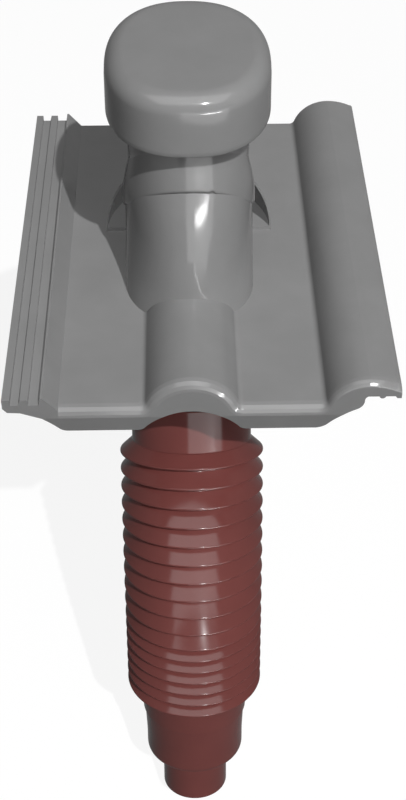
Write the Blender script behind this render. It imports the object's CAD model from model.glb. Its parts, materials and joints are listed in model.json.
import bpy
import json
import math
import numpy as np
from mathutils import Matrix, Vector


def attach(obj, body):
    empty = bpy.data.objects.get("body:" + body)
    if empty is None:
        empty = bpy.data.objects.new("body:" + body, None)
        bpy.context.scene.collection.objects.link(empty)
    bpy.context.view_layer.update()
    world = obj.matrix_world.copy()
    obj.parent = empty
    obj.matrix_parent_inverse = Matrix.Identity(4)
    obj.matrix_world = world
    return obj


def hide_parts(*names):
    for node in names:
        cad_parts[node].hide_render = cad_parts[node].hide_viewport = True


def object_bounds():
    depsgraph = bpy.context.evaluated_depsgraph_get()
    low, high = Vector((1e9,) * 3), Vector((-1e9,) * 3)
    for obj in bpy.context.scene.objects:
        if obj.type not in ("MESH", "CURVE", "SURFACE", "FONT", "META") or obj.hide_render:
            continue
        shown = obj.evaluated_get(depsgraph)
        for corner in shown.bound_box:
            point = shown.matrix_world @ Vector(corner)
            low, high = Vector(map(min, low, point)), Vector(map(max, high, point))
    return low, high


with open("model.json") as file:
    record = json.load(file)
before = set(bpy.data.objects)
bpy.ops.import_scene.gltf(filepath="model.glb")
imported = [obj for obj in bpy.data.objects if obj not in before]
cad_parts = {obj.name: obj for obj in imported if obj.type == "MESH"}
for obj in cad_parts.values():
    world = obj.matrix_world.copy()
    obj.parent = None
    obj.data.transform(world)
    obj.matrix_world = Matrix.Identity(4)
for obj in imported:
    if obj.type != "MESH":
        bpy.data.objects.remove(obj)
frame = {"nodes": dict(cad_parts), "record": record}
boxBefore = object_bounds()
nodes = frame["nodes"]
mm = 0.001
print("frame loaded:", sorted(nodes))


greyLook = {
    "colour": (0.236, 0.236, 0.236),
    "roughness": 0.13,
    "specular": 0.28,
    "mottle": 0.05,
    "mottleSize": 22.0,
    "grainSize": 1400.0,
    "grainDepth": 0.05,
}

redLook = {
    "colour": (0.14, 0.0415, 0.0375),
    "roughness": 0.14,
    "specular": 0.28,
    "mottle": 0.06,
    "mottleSize": 26.0,
    "grainSize": 1500.0,
    "grainDepth": 0.05,
}

rubberLook = {
    "colour": (0.02, 0.02, 0.02),
    "roughness": 0.62,
    "specular": 0.4,
    "mottle": 0.1,
    "mottleSize": 60.0,
    "grainSize": 2200.0,
    "grainDepth": 0.08,
}

surfaceDetail = {
    "cloudDetail": 3.0,
    "cloudSpan": (0.25, 0.75),
    "grainDetail": 2.0,
    "grainHeight": 0.0001,
}


def newSocket(group, name, side, kind, value=None):
    socket = group.interface.new_socket(name=name, in_out=side, socket_type=kind)
    if value is not None:
        socket.default_value = value


# moulded plastic: a soft mottle of the colour, a little gloss change, and a fine grain as a normal
def makeMouldedGroup():
    d = surfaceDetail
    group = bpy.data.node_groups.new("mouldedSurface", "ShaderNodeTree")
    newSocket(group, "Colour", "INPUT", "NodeSocketColor", (0.5, 0.5, 0.5, 1))
    newSocket(group, "Roughness", "INPUT", "NodeSocketFloat", 0.3)
    newSocket(group, "Mottle", "INPUT", "NodeSocketFloat", 0.05)
    newSocket(group, "Mottle Size", "INPUT", "NodeSocketFloat", 20.0)
    newSocket(group, "Grain Size", "INPUT", "NodeSocketFloat", 1400.0)
    newSocket(group, "Grain Depth", "INPUT", "NodeSocketFloat", 0.05)
    newSocket(group, "Colour", "OUTPUT", "NodeSocketColor")
    newSocket(group, "Roughness", "OUTPUT", "NodeSocketFloat")
    newSocket(group, "Normal", "OUTPUT", "NodeSocketVector")
    new = group.nodes.new
    link = group.links.new
    given = new("NodeGroupInput")
    result = new("NodeGroupOutput")
    place = new("ShaderNodeTexCoord")
    cloud = new("ShaderNodeTexNoise")
    cloud.inputs["Detail"].default_value = d["cloudDetail"]
    link(place.outputs["Object"], cloud.inputs["Vector"])
    link(given.outputs["Mottle Size"], cloud.inputs["Scale"])
    swing = new("ShaderNodeMapRange")  # the cloud as a swing from -1 to 1
    swing.inputs["From Min"].default_value = d["cloudSpan"][0]
    swing.inputs["From Max"].default_value = d["cloudSpan"][1]
    swing.inputs["To Min"].default_value = -1.0
    swing.inputs["To Max"].default_value = 1.0
    link(cloud.outputs["Fac"], swing.inputs["Value"])
    amount = new("ShaderNodeMath")
    amount.operation = "MULTIPLY"
    link(swing.outputs[0], amount.inputs[0])
    link(given.outputs["Mottle"], amount.inputs[1])
    gain = new("ShaderNodeMath")  # 1 + mottle * swing, for the colour and the gloss
    gain.operation = "ADD"
    gain.inputs[1].default_value = 1.0
    link(amount.outputs[0], gain.inputs[0])
    shade = new("ShaderNodeVectorMath")
    shade.operation = "SCALE"
    link(given.outputs["Colour"], shade.inputs[0])
    link(gain.outputs[0], shade.inputs["Scale"])
    link(shade.outputs[0], result.inputs["Colour"])
    gloss = new("ShaderNodeMath")
    gloss.operation = "MULTIPLY"
    link(given.outputs["Roughness"], gloss.inputs[0])
    link(gain.outputs[0], gloss.inputs[1])
    link(gloss.outputs[0], result.inputs["Roughness"])
    grain = new("ShaderNodeTexNoise")
    grain.inputs["Detail"].default_value = d["grainDetail"]
    link(place.outputs["Object"], grain.inputs["Vector"])
    link(given.outputs["Grain Size"], grain.inputs["Scale"])
    bump = new("ShaderNodeBump")
    bump.inputs["Distance"].default_value = d["grainHeight"]
    link(given.outputs["Grain Depth"], bump.inputs["Strength"])
    link(grain.outputs["Fac"], bump.inputs["Height"])
    link(bump.outputs["Normal"], result.inputs["Normal"])
    return group


def makeMaterial(name):
    material = bpy.data.materials.new(name)
    material.use_nodes = True
    tree = material.node_tree
    return material, tree, tree.nodes["Principled BSDF"]


def mouldedMaterial(name, look, group):
    material, tree, shader = makeMaterial(name)
    surface = tree.nodes.new("ShaderNodeGroup")
    surface.node_tree = group
    surface.inputs["Colour"].default_value = look["colour"] + (1,)
    surface.inputs["Roughness"].default_value = look["roughness"]
    surface.inputs["Mottle"].default_value = look["mottle"]
    surface.inputs["Mottle Size"].default_value = look["mottleSize"]
    surface.inputs["Grain Size"].default_value = look["grainSize"]
    surface.inputs["Grain Depth"].default_value = look["grainDepth"]
    shader.inputs["Specular IOR Level"].default_value = look["specular"]
    tree.links.new(surface.outputs["Colour"], shader.inputs["Base Color"])
    tree.links.new(surface.outputs["Roughness"], shader.inputs["Roughness"])
    tree.links.new(surface.outputs["Normal"], shader.inputs["Normal"])
    return material


# quads between the rows of a grid of points, closed across each row, and closed end to end if looped
def gridFaces(rows, columns, looped):
    r = np.arange(rows if looped else rows - 1)[:, None]
    c = np.arange(columns)[None, :]
    r2 = (r + 1) % rows
    c2 = (c + 1) % columns
    corners = [r * columns + c, r * columns + c2, r2 * columns + c2, r2 * columns + c]
    return np.stack(corners, -1).reshape(-1, 4)


def makePiece(name, points, faces, material):
    mesh = bpy.data.meshes.new(name)
    mesh.from_pydata([tuple(p) for p in points], [], faces)
    mesh.polygons.foreach_set("use_smooth", np.ones(len(mesh.polygons), bool))
    mesh.materials.append(material)
    mesh.update()
    piece = bpy.data.objects.new(name, mesh)
    bpy.context.scene.collection.objects.link(piece)
    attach(piece, "root")
    return piece


edgeEase = {
    "mostTrim": 0.36,  # share of the shorter side at a corner
    "runIn": 1.3,  # in trims, from the corner
}


# corners of a closed outline, each eased by a curve that starts one trim before it and ends one trim
# after; a point a little further out on either side keeps the flats between them flat
def easedOutline(corners, trims, steps):
    corners = np.asarray(corners, float)
    before = np.roll(corners, 1, 0) - corners
    after = np.roll(corners, -1, 0) - corners
    longBefore = np.linalg.norm(before, axis=1, keepdims=True)
    longAfter = np.linalg.norm(after, axis=1, keepdims=True)
    most = edgeEase["mostTrim"] * np.minimum(longBefore, longAfter)
    trim = np.minimum(np.asarray(trims, float)[:, None], most)
    start = corners + before / longBefore * trim
    end = corners + after / longAfter * trim
    t = np.linspace(0, 1, steps)[None, :, None]
    curve = (1 - t) ** 2 * start[:, None] + 2 * t * (1 - t) * corners[:, None] + t ** 2 * end[:, None]
    lead = (corners + before / longBefore * trim * edgeEase["runIn"])[:, None]
    trail = (corners + after / longAfter * trim * edgeEase["runIn"])[:, None]
    return np.concatenate([lead, curve, trail], 1).reshape(-1, 2)


# lengths in mm and angles in degrees, here and in the forms below
hoseForm = {
    "foot": (0.0, -235.0, 20.0),
    "ductLean": 28.0,
    "socketStart": 105.0,
    "socketLength": 40.0,
    "socketOuter": 55.0,
    "socketInner": 52.3,
    "ridges": 17,
    "openRidges": 10,
    "openPitch": 17.2,
    "closedPitch": 13.4,
    "firstBack": 2.0,
    "crest": 66.3,
    "root": 55.5,
    "land": 1.2,
    "undercut": 3.6,
    "wall": 1.4,
    "startLean": 30.0,
    "endLean": 15.6,
    "cuffInner": 50.3,
    "cuffOuter": 51.6,
    "cuffLength": 32.0,
    "endTrim": 0.5,
    "footTrim": 1.6,
    "crestTrim": 0.45,
    "rootTrim": 1.0,
    "steps": 4,
    "sides": 192,
}


# the hose's line: straight down the duct, one arc, then straight; gives the centre and the sideways
# direction at each distance along it
def hoseLine(along):
    f = hoseForm
    along = np.asarray(along, float)
    ductLean = math.radians(f["ductLean"])
    ductWay = np.array([0.0, -math.sin(ductLean), -math.cos(ductLean)])
    foot = np.array(f["foot"])
    bend = f["openRidges"] * f["openPitch"]
    start = math.radians(f["startLean"])
    radius = bend / (start - math.radians(f["endLean"]))
    straight = np.minimum(along, f["socketLength"])
    run = np.clip(along - f["socketLength"], 0, bend)
    lean = np.where(along <= f["socketLength"], ductLean, start - run / radius)
    rest = np.maximum(along - f["socketLength"] - bend, 0)
    centre = foot + ductWay * (f["socketStart"] + straight)[:, None]
    arcLean = start - run / radius
    centre[:, 1] += radius * (math.cos(start) - np.cos(arcLean)) - rest * np.sin(lean)
    centre[:, 2] += radius * (np.sin(arcLean) - math.sin(start)) - rest * np.cos(lean)
    side = np.stack([np.zeros_like(lean), -np.cos(lean), np.sin(lean)], 1)
    return centre, side


# circles square to the hose's line: centre + radius * (cos a * across + sin a * sideways)
def turnedAlong(outline, sides, first=0.0):
    centre, side = hoseLine(outline[:, 1] + first)
    a = np.linspace(0, 2 * np.pi, sides, endpoint=False)
    across = np.array([1.0, 0.0, 0.0])
    ring = np.cos(a)[None, :, None] * across + np.sin(a)[None, :, None] * side[:, None]
    return centre[:, None] + outline[:, 0][:, None, None] * ring


# corners of the hose's wall as (radius, distance along, trim), and where the cuff starts: down the
# outside over each crest and root, and back up the inside one wall further in
def hoseCorners():
    f = hoseForm
    outer = [(f["socketOuter"], 0.0, f["endTrim"]),
             (f["socketOuter"], f["socketLength"], f["footTrim"])]
    crest = f["socketLength"] + f["openPitch"] - f["undercut"] - f["land"] - f["firstBack"]
    for i in range(f["ridges"]):
        if i > 0:
            outer.append((f["root"], crest + f["land"] + f["undercut"], f["rootTrim"]))
            crest += f["openPitch"] if i <= f["openRidges"] else f["closedPitch"]
        outer += [(f["crest"], crest, f["crestTrim"]), (f["crest"], crest + f["land"], f["crestTrim"])]
    cuff = crest + f["land"] + f["undercut"]
    end = cuff + f["cuffLength"]
    outer += [(f["cuffOuter"], cuff, f["rootTrim"]), (f["cuffOuter"], end, f["endTrim"])]
    inner = [(f["cuffInner"], end, f["endTrim"]), (f["cuffInner"], cuff, f["rootTrim"])]
    inner += [(r - f["wall"], s, trim) for r, s, trim in reversed(outer[2:-2])]
    inner += [(f["socketInner"], f["socketLength"], f["rootTrim"]),
              (f["socketInner"], 0.0, f["endTrim"])]
    return np.array(outer + inner), cuff


def makeHose(material):
    f = hoseForm
    corners, cuff = hoseCorners()
    outline = easedOutline(corners[:, :2], corners[:, 2], f["steps"])
    points = turnedAlong(outline, f["sides"]).reshape(-1, 3) * mm
    faces = gridFaces(len(outline), f["sides"], True).tolist()
    piece = makePiece("bellowsHose", points, faces, material)
    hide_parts("bellows_hose")
    return cuff


reducerForm = {
    "top": 50.0,
    "body": 48.5,
    "taperEnd": 64.0,
    "length": 83.0,
    "step": 3.0,
    "spout": 32.5,
    "spoutLength": 50.5,
    "wall": 2.2,
    "groove": 1.8,
    "grooveStart": 8.0,
    "grooveWidth": 6.0,
    "belowGroove": 12.0,
    "topTrim": 0.5,
    "grooveTrim": 0.2,
    "cuffTrim": 3.0,
    "taperTrim": 6.0,
    "stepTrim": 5.0,
    "insideTrim": 3.5,
    "spoutTrim": 1.6,
    "lipTrim": 0.7,
    "steps": 7,
    "sides": 160,
}


# the sleeve from its top over the seal's groove, the taper and the step to the spout's lip, and back
# up the inside; start is how far along the hose's line it begins
def makeReducer(material, start):
    f = reducerForm
    step = f["length"] + f["step"]
    end = step + f["spoutLength"]
    low = f["top"] - f["groove"]
    grooveStart = f["grooveStart"]
    grooveEnd = grooveStart + f["grooveWidth"]
    bodyInner = f["body"] - f["wall"]
    spoutInner = f["spout"] - f["wall"]
    corners = np.array([
        (f["top"], 0.0, f["topTrim"]),
        (f["top"], grooveStart, f["grooveTrim"]),
        (low, grooveStart, f["grooveTrim"]),
        (low, grooveEnd, f["grooveTrim"]),
        (f["top"], grooveEnd, f["grooveTrim"]),
        (f["top"], hoseForm["cuffLength"], f["cuffTrim"]),
        (f["body"], f["taperEnd"], f["taperTrim"]),
        (f["body"], step, f["stepTrim"]),
        (f["spout"], step, f["spoutTrim"]),
        (f["spout"], end, f["lipTrim"]),
        (spoutInner, end, f["lipTrim"]),
        (spoutInner, step - f["wall"], f["spoutTrim"]),
        (bodyInner, step - f["wall"], f["insideTrim"]),
        (bodyInner, f["taperEnd"], f["taperTrim"]),
        (low - f["wall"], grooveEnd + f["belowGroove"], f["taperTrim"]),
        (low - f["wall"], 0.0, f["topTrim"])])
    outline = easedOutline(corners[:, :2], corners[:, 2], f["steps"])
    points = turnedAlong(outline, f["sides"], start).reshape(-1, 3) * mm
    faces = gridFaces(len(outline), f["sides"], True).tolist()
    piece = makePiece("steppedReducer", points, faces, material)
    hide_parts("stepped_reducer")


# where the hood and the cap stand: the middle of the neck at the pan's height
ventForm = {
    "middle": (0.0, -197.5, 20.0),
    "sides": 240,
}


# the angles of the points round each oval, half a step off the axes
def ovalAngles():
    return 2 * np.pi * (np.arange(ventForm["sides"]) + 0.5) / ventForm["sides"]


# heights are over the pan; half and long are the half-widths across and along the slope;
# a share runs from 0 at the seam to 1 at the crease
hoodForm = {
    "collarHalf": 58.4,
    "collarLong": 74.1,
    "neckHalf": 52.0,
    "neckLong": 67.0,
    "neckTop": 185.0,
    "wall": 2.2,
    "sideHeight": 59.0,
    "rearHeight": 8.0,
    "slope": 41.0,
    "creaseSlope": 38.6,
    "creaseRise": 46.5,
    "creaseStep": 0.5,
    "shoulderRises": (18.0, 33.0),
    "sideInsets": (0.7, 3.0),
    "frontInsets": (2.9, 5.2),
    "seamGap": 0.55,
    "seamSag": 4.6,
    "notchPlace": 19.0,
    "notchWidth": 3.4,
    "notchHeight": 1.8,
    "notchPower": 6,
    "edgeShares": (0.0, 0.006, 0.018, 0.034, 0.056),
    "edgeGrows": (-1.1, -0.65, -0.3, -0.1, -0.02),
    "collarSpan": (0.08, 0.985),
    "collarCount": 25,
    "neckCount": 12,
    "neckInCount": 8,
    "rimTrim": 0.5,
    "rimInset": 0.4,
    "placeRounds": 4,
    "slopeRounds": 3,
}


# how far the collar draws in at a rise above the seam: three powers of the rise through three marks,
# from the square up at the sides and from a straight lean up at the front and back
def collarInset(rise, insets, last, first):
    f = hoodForm
    marks = np.array(f["shoulderRises"] + (f["creaseRise"],))
    wanted = np.array(insets + (last,))
    powers = first + np.arange(3)
    share = np.linalg.solve(marks[:, None] ** powers, wanted)
    rise = np.maximum(rise, 0)
    return (share * rise[..., None] ** powers).sum(-1)


# height of the seam over the pan: a slanted line, with a sag of sine squared between the sides and the
# front, and level at the rear
def seamHeight(y):
    f = hoodForm
    share = np.clip(-y / f["collarLong"], 0, 1)
    sag = f["seamSag"] * np.sin(np.pi * share) ** 2
    return np.maximum(f["sideHeight"] - y * math.tan(math.radians(f["slope"])) - sag, f["rearHeight"])


# height of the crease where the collar meets the neck: a slanted line
def creaseHeight(y):
    f = hoodForm
    return f["sideHeight"] + f["creaseRise"] - y * math.tan(math.radians(f["creaseSlope"]))


# rows of the collar: the height goes from seam to crease by the row's share, the rise is measured up
# from the seam's slope, and the oval draws in by that rise; both rounds repeat until the point settles
def collarRows(shares, grow):
    f = hoodForm
    t = ovalAngles()
    share = np.asarray(shares)[:, None]
    half = np.full((len(shares), len(t)), f["collarHalf"] + grow)
    long = np.full_like(half, f["collarLong"] + grow)
    sideStep = f["collarHalf"] - f["neckHalf"] - f["creaseStep"]
    frontStep = f["collarLong"] - f["neckLong"] - f["creaseStep"]
    for _ in range(f["placeRounds"]):
        x = half * np.cos(t)
        y = long * np.sin(t)
        away = (x - f["notchPlace"]) / f["notchWidth"] * 2
        notch = f["notchHeight"] * np.exp(-away ** f["notchPower"]) * (y < 0)
        low = seamHeight(y) + f["seamGap"] + notch
        z = low + (creaseHeight(y) - low) * share
        rise = z - f["sideHeight"] + y * math.tan(math.radians(f["slope"]))
        for _ in range(f["slopeRounds"]):
            slope = f["slope"] + (f["creaseSlope"] - f["slope"]) * np.clip(rise / f["creaseRise"], 0, 1)
            rise = z - f["sideHeight"] + y * np.tan(np.radians(slope))
        half = f["collarHalf"] + grow - collarInset(rise, f["sideInsets"], sideStep, 2)
        long = f["collarLong"] + grow - collarInset(rise, f["frontInsets"], frontStep, 1)
    return np.stack([x, y, z], -1)


# rows of the neck: one oval, from a height over the slanted crease up to the level top
def neckRows(low, top, grow, count):
    f = hoodForm
    t = ovalAngles()
    x = np.broadcast_to((f["neckHalf"] + grow) * np.cos(t), (count, len(t)))
    y = np.broadcast_to((f["neckLong"] + grow) * np.sin(t), (count, len(t)))
    share = np.linspace(0, 1, count)[:, None]
    z = (creaseHeight(y) + low) * (1 - share) + top * share
    return np.stack([x, y, z], -1)


# the hood's skin: up the outside from its rounded lower edge, over the rim, and down the inside
def makeHood(material):
    f = hoodForm
    wall = f["wall"]
    top = f["neckTop"]
    trim = f["rimTrim"]
    inset = f["rimInset"]
    shares = np.concatenate([f["edgeShares"], np.linspace(*f["collarSpan"], f["collarCount"]), [1.0]])
    grows = np.concatenate([f["edgeGrows"], np.zeros(f["collarCount"] + 1)])
    outer = np.concatenate([collarRows([s], g) for s, g in zip(shares, grows)])
    neck = neckRows(trim, top - trim, 0.0, f["neckCount"])
    rim = np.concatenate([neckRows(0, top, -inset, 2)[-1:], neckRows(0, top, inset - wall, 2)[-1:]])
    neckIn = neckRows(trim, top - trim, -wall, f["neckInCount"])[::-1]
    inner = collarRows(shares[3::4][::-1], -wall)
    lip = collarRows([0.0], -wall)
    rows = np.concatenate([outer, neck, rim, neckIn, inner, lip])
    points = (rows.reshape(-1, 3) + np.array(ventForm["middle"])) * mm
    faces = gridFaces(len(rows), ventForm["sides"], True).tolist()
    piece = makePiece("upperHood", points, faces, material)
    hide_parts("upper_hood")


capForm = {
    "half": 68.0,
    "long": 84.2,
    "power": 2.3,
    "rim": 165.0,
    "height": 51.0,
    "rounding": 16.0,
    "wall": 2.5,
    "flare": 0.8,
    "roundingCount": 15,
    "wallCount": 9,
    "lipHeight": 0.6,
    "lipSteps": ((0.2, 0.15), (0.7, 0.0)),
    "poleShares": (0.01, 0.3, 0.6, 0.85),
    "finThickness": 3.0,
    "finTongue": 15.0,
    "finReach": 9.0,
    "finGap": 0.3,
    "finSink": 1.2,
    "finCount": 9,
}


# ovals |x/half|^power + |y/long|^power = 1 about the vent's middle, one for each row
def ovalRows(half, long, height, power):
    t = ovalAngles()
    c = np.sign(np.cos(t)) * np.abs(np.cos(t)) ** (2 / power)
    s = np.sign(np.sin(t)) * np.abs(np.sin(t)) ** (2 / power)
    x = np.asarray(half)[:, None] * c
    y = np.asarray(long)[:, None] * s
    z = np.broadcast_to(np.asarray(height)[:, None], x.shape)
    return np.stack([x, y, z], -1)


# the rows of a lid, as insets and heights: a quarter circle over the edge, and down the flared wall
def lidRows(wall):
    f = capForm
    top = f["rim"] + f["height"] - wall
    rounding = f["rounding"] - wall
    a = np.linspace(np.pi / 2, 0, f["roundingCount"])
    inset = wall + rounding * (1 - np.cos(a))
    height = top - rounding + rounding * np.sin(a)
    down = np.linspace(top - rounding, f["rim"] + f["lipHeight"], f["wallCount"])[1:]
    flare = (top - down) / f["height"] * f["flare"]
    return np.concatenate([inset, wall - flare]), np.concatenate([height, down])


# the lid's skin: from a pole at the top outside, down the wall, round the lip, and up to a pole inside
def lidSkin():
    f = capForm
    inset, height = lidRows(0.0)
    insetIn, heightIn = lidRows(f["wall"])
    (inNear, upNear), (inFar, upFar) = f["lipSteps"]
    lip = np.array([
        (inset[-1] + inNear, f["rim"] + upNear), (inset[-1] + inFar, f["rim"] + upFar),
        (insetIn[-1] - inFar, f["rim"] + upFar), (insetIn[-1] - inNear, f["rim"] + upNear)])
    inset = np.concatenate([inset, lip[:, 0], insetIn[::-1]])
    height = np.concatenate([height, lip[:, 1], heightIn[::-1]])
    skin = ovalRows(f["half"] - inset, f["long"] - inset, height, f["power"])
    shrink = np.array(f["poleShares"])[:, None, None]
    flat = np.array([1.0, 1.0, 0.0])
    opening = skin[:1] * flat * shrink + skin[:1] * (1 - flat)
    closing = skin[-1:] * flat * shrink[::-1] + skin[-1:] * (1 - flat)
    rows = np.concatenate([opening, skin, closing])
    sides = ventForm["sides"]
    count = len(rows) * sides
    poles = np.array([[0.0, 0.0, rows[0, 0, 2]], [0.0, 0.0, rows[-1, 0, 2]]])
    points = np.concatenate([rows.reshape(-1, 3), poles])
    faces = gridFaces(len(rows), sides, False)[:, ::-1].tolist()
    c = np.arange(sides)
    c2 = (c + 1) % sides
    last = count - sides
    faces += np.stack([np.full(sides, count), c, c2], 1).tolist()
    faces += np.stack([np.full(sides, count + 1), last + c2, last + c], 1).tolist()
    return points, faces


# a fin's outline, as distances out and heights: it fills the lid's edge, stands on the neck's rim,
# and has a tongue down inside the neck
def finOutline(long, neckLong):
    f = capForm
    sink = f["finSink"]
    top = f["rim"] + f["height"] - sink
    rounding = f["rounding"] - sink
    neckTop = hoodForm["neckTop"]
    tongue = neckTop - f["finTongue"]
    inner = neckLong - hoodForm["wall"] - f["finReach"]
    foot = neckLong - hoodForm["wall"] - f["finGap"]
    a = np.linspace(np.pi / 2, 0, f["finCount"])
    arc = np.stack([long - sink - rounding * (1 - np.cos(a)), top - rounding + rounding * np.sin(a)], 1)
    first = np.array([(inner, tongue), (inner, top)])
    last = np.array([(long - sink, neckTop), (foot, neckTop), (foot, tongue)])
    return np.concatenate([first, arc, last])


# one fin: its outline stood upright in the direction of its quarter turn, and thickened to both sides
def finBlock(turn, base):
    f = capForm
    long = (f["half"], f["long"])[turn % 2]
    neck = (hoodForm["neckHalf"], hoodForm["neckLong"])[turn % 2]
    outline = finOutline(long, neck)
    angle = turn * np.pi / 2
    way = np.array([math.cos(angle), math.sin(angle), 0.0])
    across = np.array([-math.sin(angle), math.cos(angle), 0.0])
    up = np.array([0.0, 0.0, 1.0])
    upright = outline[:, :1] * way + outline[:, 1:] * up
    half = f["finThickness"] / 2
    points = np.concatenate([upright + across * half, upright - across * half])
    n = len(outline)
    k = np.arange(n)
    k2 = (k + 1) % n
    faces = np.stack([base + k, base + k2, base + n + k2, base + n + k], 1).tolist()
    faces += [(base + k[::-1]).tolist(), (base + n + k).tolist()]
    return points, faces


def makeCap(material):
    points, faces = lidSkin()
    skinFaces = len(faces)
    for turn in range(4):
        finPoints, finFaces = finBlock(turn, len(points))
        points = np.concatenate([points, finPoints])
        faces += finFaces
    points = (points + np.array(ventForm["middle"])) * mm
    piece = makePiece("rainCap", points, faces, material)
    smooth = np.arange(len(faces)) < skinFaces  # the fins stay flat
    piece.data.polygons.foreach_set("use_smooth", smooth)
    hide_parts("rain_cap")


# the camera, solved from the tile's edges in the photograph
cameraView = {
    "place": (-0.0054, -1.1725, 0.7874),
    "right": (0.99983, -0.01841, 0.0),
    "up": (0.0129, 0.6982, 0.7158),
    "lens": 60.54,
    "sensor": 36.0,
}


def addCamera():
    data = bpy.data.cameras.new("photoCamera")
    data.lens = cameraView["lens"]
    data.sensor_width = cameraView["sensor"]
    camera = bpy.data.objects.new("photoCamera", data)
    right = Vector(cameraView["right"]).normalized()
    up = Vector(cameraView["up"]).normalized()
    back = right.cross(up)
    turn = Matrix((right, up, back)).transposed().to_4x4()
    camera.matrix_world = Matrix.Translation(cameraView["place"]) @ turn
    bpy.context.scene.collection.objects.link(camera)
    bpy.context.scene.camera = camera


lampForm = {
    "towards": (0.247, -0.595, 0.765),
    "sunPower": 2.3,
    "sunAngle": 0.8,
    "softPower": 45.0,
    "softSize": 1.3,
    "softDistance": 3.0,
}

# boxes that are seen only in reflections
glossBoxes = {
    "spotBox": {
        "place": (1.16, -2.6, -0.12), "aim": (0.0, -0.27, 0.08),
        "shape": "ELLIPSE", "size": (1.4, 0.19), "power": 34.0,
    },
    "frontBox": {
        "place": (0.43, -1.28, -0.03), "aim": (0.0, -0.27, 0.04),
        "shape": "RECTANGLE", "size": (1.25, 0.68), "power": 9.0,
    },
    "topBox": {
        "place": (0.03, -0.76, 1.55), "aim": (0.0, -0.38, -0.25),
        "shape": "RECTANGLE", "size": (2.2, 1.25), "power": 27.0,
    },
}


def addLamps():
    towards = Vector(lampForm["towards"]).normalized()
    turn = towards.to_track_quat("Z", "Y").to_matrix().to_4x4()
    sun = bpy.data.lights.new("sun", "SUN")
    sun.energy = lampForm["sunPower"]
    sun.angle = math.radians(lampForm["sunAngle"])
    sunObject = bpy.data.objects.new("sun", sun)
    sunObject.matrix_world = turn
    bpy.context.scene.collection.objects.link(sunObject)
    soft = bpy.data.lights.new("softBox", "AREA")
    soft.shape = "SQUARE"
    soft.size = lampForm["softSize"]
    soft.energy = lampForm["softPower"]
    soft.use_shadow = False  # a fill: only the sun draws shadows and streaks
    softObject = bpy.data.objects.new("softBox", soft)
    softObject.visible_glossy = False
    middle = (boxBefore[0] + boxBefore[1]) / 2
    softObject.matrix_world = Matrix.Translation(middle + towards * lampForm["softDistance"]) @ turn
    bpy.context.scene.collection.objects.link(softObject)
    for name, given in glossBoxes.items():
        box = bpy.data.lights.new(name, "AREA")
        box.shape = given["shape"]
        box.size, box.size_y = given["size"]
        box.energy = given["power"]
        boxObject = bpy.data.objects.new(name, box)
        away = Vector(given["place"]) - Vector(given["aim"])
        facing = away.to_track_quat("Z", "Y").to_matrix().to_4x4()
        boxObject.matrix_world = Matrix.Translation(given["place"]) @ facing
        boxObject.visible_camera = False
        boxObject.visible_diffuse = False
        bpy.context.scene.collection.objects.link(boxObject)


backdrop = {
    "skyFill": 0.02,
    "white": 1.0,
    "glossShare": 0.2,
    "floorDrop": 0.012,
    "floorReach": 6.0,
    "floorGlow": 0.82,
    "glowStrength": 1.06,
    "floorColour": 0.8,
    "floorRoughness": 0.9,
    "floorBounce": 0.08,
}


# 1 for camera rays, a part of it for glossy and transmission rays, and 0 for the rest
def whiteShare(tree):
    path = tree.nodes.new("ShaderNodeLightPath")
    value = path.outputs["Is Camera Ray"]
    for name in ("Is Glossy Ray", "Is Transmission Ray"):
        partial = tree.nodes.new("ShaderNodeMath")
        partial.operation = "MULTIPLY"
        partial.inputs[1].default_value = backdrop["glossShare"]
        tree.links.new(path.outputs[name], partial.inputs[0])
        larger = tree.nodes.new("ShaderNodeMath")
        larger.operation = "MAXIMUM"
        tree.links.new(value, larger.inputs[0])
        tree.links.new(partial.outputs[0], larger.inputs[1])
        value = larger.outputs[0]
    return value


def addWorld():
    world = bpy.data.worlds.new("studioWorld")
    bpy.context.scene.world = world
    world.use_nodes = True
    tree = world.node_tree
    fill = tree.nodes["Background"]
    fill.inputs["Color"].default_value = (1, 1, 1, 1)
    fill.inputs["Strength"].default_value = backdrop["skyFill"]
    white = tree.nodes.new("ShaderNodeBackground")
    white.inputs["Color"].default_value = (1, 1, 1, 1)
    white.inputs["Strength"].default_value = backdrop["white"]
    mix = tree.nodes.new("ShaderNodeMixShader")
    tree.links.new(whiteShare(tree), mix.inputs[0])
    tree.links.new(fill.outputs[0], mix.inputs[1])
    tree.links.new(white.outputs[0], mix.inputs[2])
    tree.links.new(mix.outputs[0], tree.nodes["World Output"].inputs["Surface"])


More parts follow.
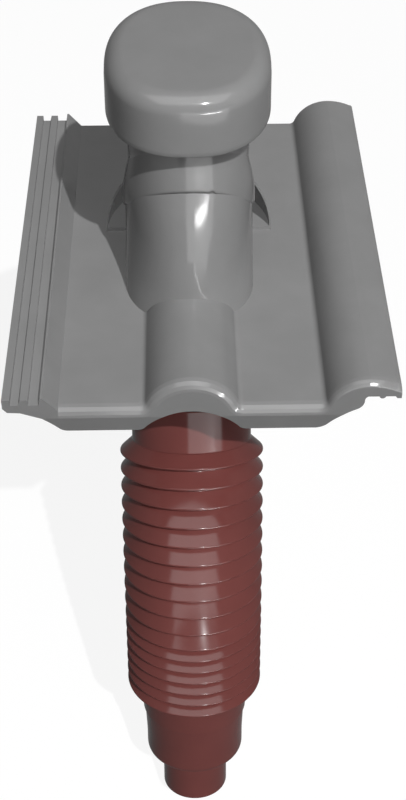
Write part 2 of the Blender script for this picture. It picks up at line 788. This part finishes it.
# the floor is white to the camera and takes the shadow, and sends little light back up
def addFloor():
    low = boxBefore[0].z - backdrop["floorDrop"]
    reach = backdrop["floorReach"]
    mesh = bpy.data.meshes.new("floor")
    spots = [(-reach, -reach, low), (reach, -reach, low), (reach, reach, low), (-reach, reach, low)]
    mesh.from_pydata(spots, [], [(0, 1, 2, 3)])
    floor = bpy.data.objects.new("floor", mesh)
    bpy.context.scene.collection.objects.link(floor)
    material, tree, shader = makeMaterial("paleFloor")
    shader.inputs["Base Color"].default_value = (backdrop["floorColour"],) * 3 + (1,)
    shader.inputs["Roughness"].default_value = backdrop["floorRoughness"]
    shader.inputs["Specular IOR Level"].default_value = 0.0
    dull = tree.nodes.new("ShaderNodeBsdfDiffuse")
    dull.inputs["Color"].default_value = (backdrop["floorBounce"],) * 3 + (1,)
    glow = tree.nodes.new("ShaderNodeEmission")
    glow.inputs["Strength"].default_value = backdrop["glowStrength"]
    seen = tree.nodes.new("ShaderNodeMixShader")
    seen.inputs[0].default_value = backdrop["floorGlow"]
    tree.links.new(shader.outputs[0], seen.inputs[1])
    tree.links.new(glow.outputs[0], seen.inputs[2])
    mix = tree.nodes.new("ShaderNodeMixShader")
    tree.links.new(whiteShare(tree), mix.inputs[0])
    tree.links.new(dull.outputs[0], mix.inputs[1])
    tree.links.new(seen.outputs[0], mix.inputs[2])
    tree.links.new(mix.outputs[0], tree.nodes["Material Output"].inputs["Surface"])
    mesh.materials.append(material)


group = makeMouldedGroup()
greyPlastic = mouldedMaterial("greyPlastic", greyLook, group)
redPlastic = mouldedMaterial("redPlastic", redLook, group)
sealRubber = mouldedMaterial("sealRubber", rubberLook, group)
finishes = {"grey_plastic": greyPlastic, "red_brown_plastic": redPlastic, "seal_rubber": sealRubber}
for part in frame["record"]["subparts"]:
    node = nodes[part["node"]]
    finish = finishes[part["material_slot"]]
    if not node.material_slots:
        node.data.materials.append(finish)
    for slotHolder in node.material_slots:
        slotHolder.material = finish
print("materials made")

cuffStart = makeHose(redPlastic)
makeReducer(redPlastic, cuffStart)
print("hose and reducer made")
makeHood(greyPlastic)
makeCap(greyPlastic)
print("hood and cap made")
addCamera()
addLamps()
addWorld()
addFloor()
bpy.context.scene.view_settings.view_transform = "Standard"
print("camera, lamps, world and floor made")
print("sizes written")
